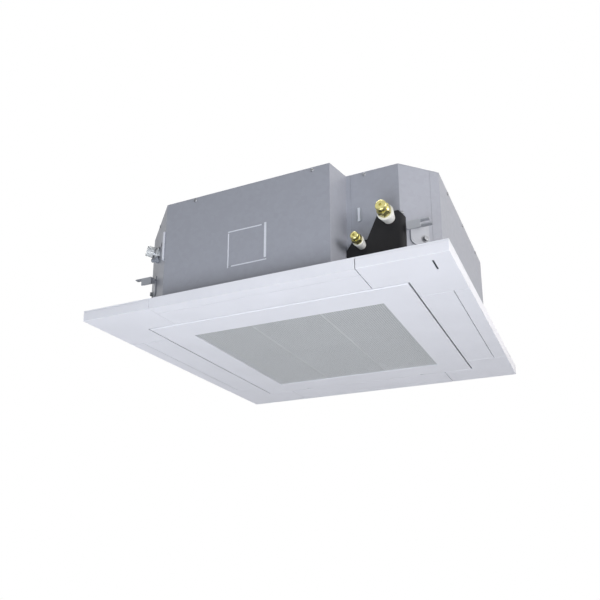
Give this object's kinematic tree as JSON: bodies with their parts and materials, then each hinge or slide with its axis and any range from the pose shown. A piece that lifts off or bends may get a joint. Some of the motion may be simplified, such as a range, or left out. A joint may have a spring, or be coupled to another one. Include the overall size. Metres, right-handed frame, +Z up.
{
  "type": "ceiling cassette air conditioner",
  "caption": "Square four-way cassette air conditioner for a ceiling: a steel casing on hangers over a flat white panel with a hinged intake grille and swinging louvers.",
  "frame": {"origin": "under the middle of the unit, level with the lowest face of the intake grille", "axes": "+Z up; -Y is the front, with the knock-out; the pipes leave at the front right"},
  "size_m": [0.95, 0.95, 0.317],
  "materials": {
    "galvanized_steel": "galvanized sheet, faintly streaked",
    "white_plastic": "satin moulded plastic",
    "grey_plastic": "satin moulded plastic",
    "black_plastic": "matt moulded plastic",
    "clear_plastic": "milky clear plastic",
    "white_foam": "expanded foam with a smooth skin",
    "grey_foam": "soft closed-cell foam sheet",
    "aluminium_fins": "close thin fins",
    "copper": "drawn copper tube",
    "brass": "machined, bright",
    "steel": "zinc plated",
    "rubber": "matt",
    "circuit_board": "green circuit board"
  },
  "bodies": {
    "housing": {"front_wall": "galvanized_steel", "pipe_corner_wall": "galvanized_steel", "right_wall": "galvanized_steel", "back_left_wall": "galvanized_steel", "top_plate": "galvanized_steel", "fresh_air_knockout": "galvanized_steel", "coil_end_plate_front": "galvanized_steel", "coil_end_plate_right": "galvanized_steel", "control_box": "galvanized_steel", "control_box_cover": "galvanized_steel", "hanger_bracket_front_right": "galvanized_steel", "hanger_bracket_back_right": "galvanized_steel", "hanger_bracket_front_left": "galvanized_steel", "hanger_bracket_back_left": "galvanized_steel", "bell_mouth": "white_plastic", "gas_sleeve": "white_plastic", "liquid_sleeve": "white_plastic", "drain_pump": "white_plastic", "float_switch": "white_plastic", "panel_frame": "white_plastic", "corner_cap_front_right": "white_plastic", "corner_cap_back_right": "white_plastic", "corner_cap_front_left": "white_plastic", "corner_cap_back_left": "white_plastic", "pipe_cover": "black_plastic", "signal_window": "black_plastic", "drain_socket": "clear_plastic", "drain_hose": "clear_plastic", "drain_pan": "white_foam", "insulation": "grey_foam", "heat_exchanger": "aluminium_fins", "gas_header": "copper", "liquid_header": "copper", "gas_pipe": "copper", "liquid_pipe": "copper", "gas_flare_nut": "brass", "liquid_flare_nut": "brass", "fan_motor": "steel", "motor_bearing": "steel", "louver_motor_front": "steel", "louver_motor_right": "steel", "louver_motor_back": "steel", "louver_motor_left": "steel", "cable_grommet": "rubber", "control_board": "circuit_board"},
    "fan": {"turbo_fan": "grey_plastic", "motor_shaft": "steel", "fan_nut": "steel"},
    "grille": {"intake_grille": "white_plastic", "grille_mesh": "grey_plastic", "air_filter": "black_plastic"},
    "latch_left": {"grille_latch_left": "white_plastic"},
    "latch_right": {"grille_latch_right": "white_plastic"},
    "impeller": {"pump_impeller": "grey_plastic"},
    "float": {"float": "grey_plastic"},
    "louver_front": {"louver_front": "white_plastic"},
    "louver_right": {"louver_right": "white_plastic"},
    "louver_back": {"louver_back": "white_plastic"},
    "louver_left": {"louver_left": "white_plastic"}
  },
  "joints": [
    {"name": "fan_spin", "type": "hinge", "parent": "housing", "child": "fan", "pos_m": [0, 0, 0.197], "axis": [0, 0, 1], "continuous": true},
    {"name": "grille_hinge", "type": "hinge", "parent": "housing", "child": "grille", "pos_m": [0, 0.35, 0.005], "axis": [1, 0, 0], "range_deg": [0, 90]},
    {"name": "latch_left_slide", "type": "slide", "parent": "grille", "child": "latch_left", "axis": [1, 0, 0], "range_m": [0, 0.008]},
    {"name": "latch_right_slide", "type": "slide", "parent": "grille", "child": "latch_right", "axis": [1, 0, 0], "range_m": [0, 0.008]},
    {"name": "louver_front_swing", "type": "hinge", "parent": "housing", "child": "louver_front", "pos_m": [0, -0.388, 0.018], "axis": [1, 0, 0], "range_deg": [0, 45]},
    {"name": "louver_right_swing", "type": "hinge", "parent": "housing", "child": "louver_right", "pos_m": [0.388, 0, 0.018], "axis": [0, 1, 0], "range_deg": [0, 45]},
    {"name": "louver_back_swing", "type": "hinge", "parent": "housing", "child": "louver_back", "pos_m": [0, 0.388, 0.018], "axis": [-1, 0, 0], "range_deg": [0, 45]},
    {"name": "louver_left_swing", "type": "hinge", "parent": "housing", "child": "louver_left", "pos_m": [-0.388, 0, 0.018], "axis": [0, -1, 0], "range_deg": [0, 45]},
    {"name": "pump_impeller_spin", "type": "hinge", "parent": "housing", "child": "impeller", "pos_m": [-0.31678, -0.31678, 0.077], "axis": [0, 0, 1], "continuous": true},
    {"name": "float_rise", "type": "slide", "parent": "housing", "child": "float", "axis": [0, 0, 1], "range_m": [0, 0.01]}
  ]
}
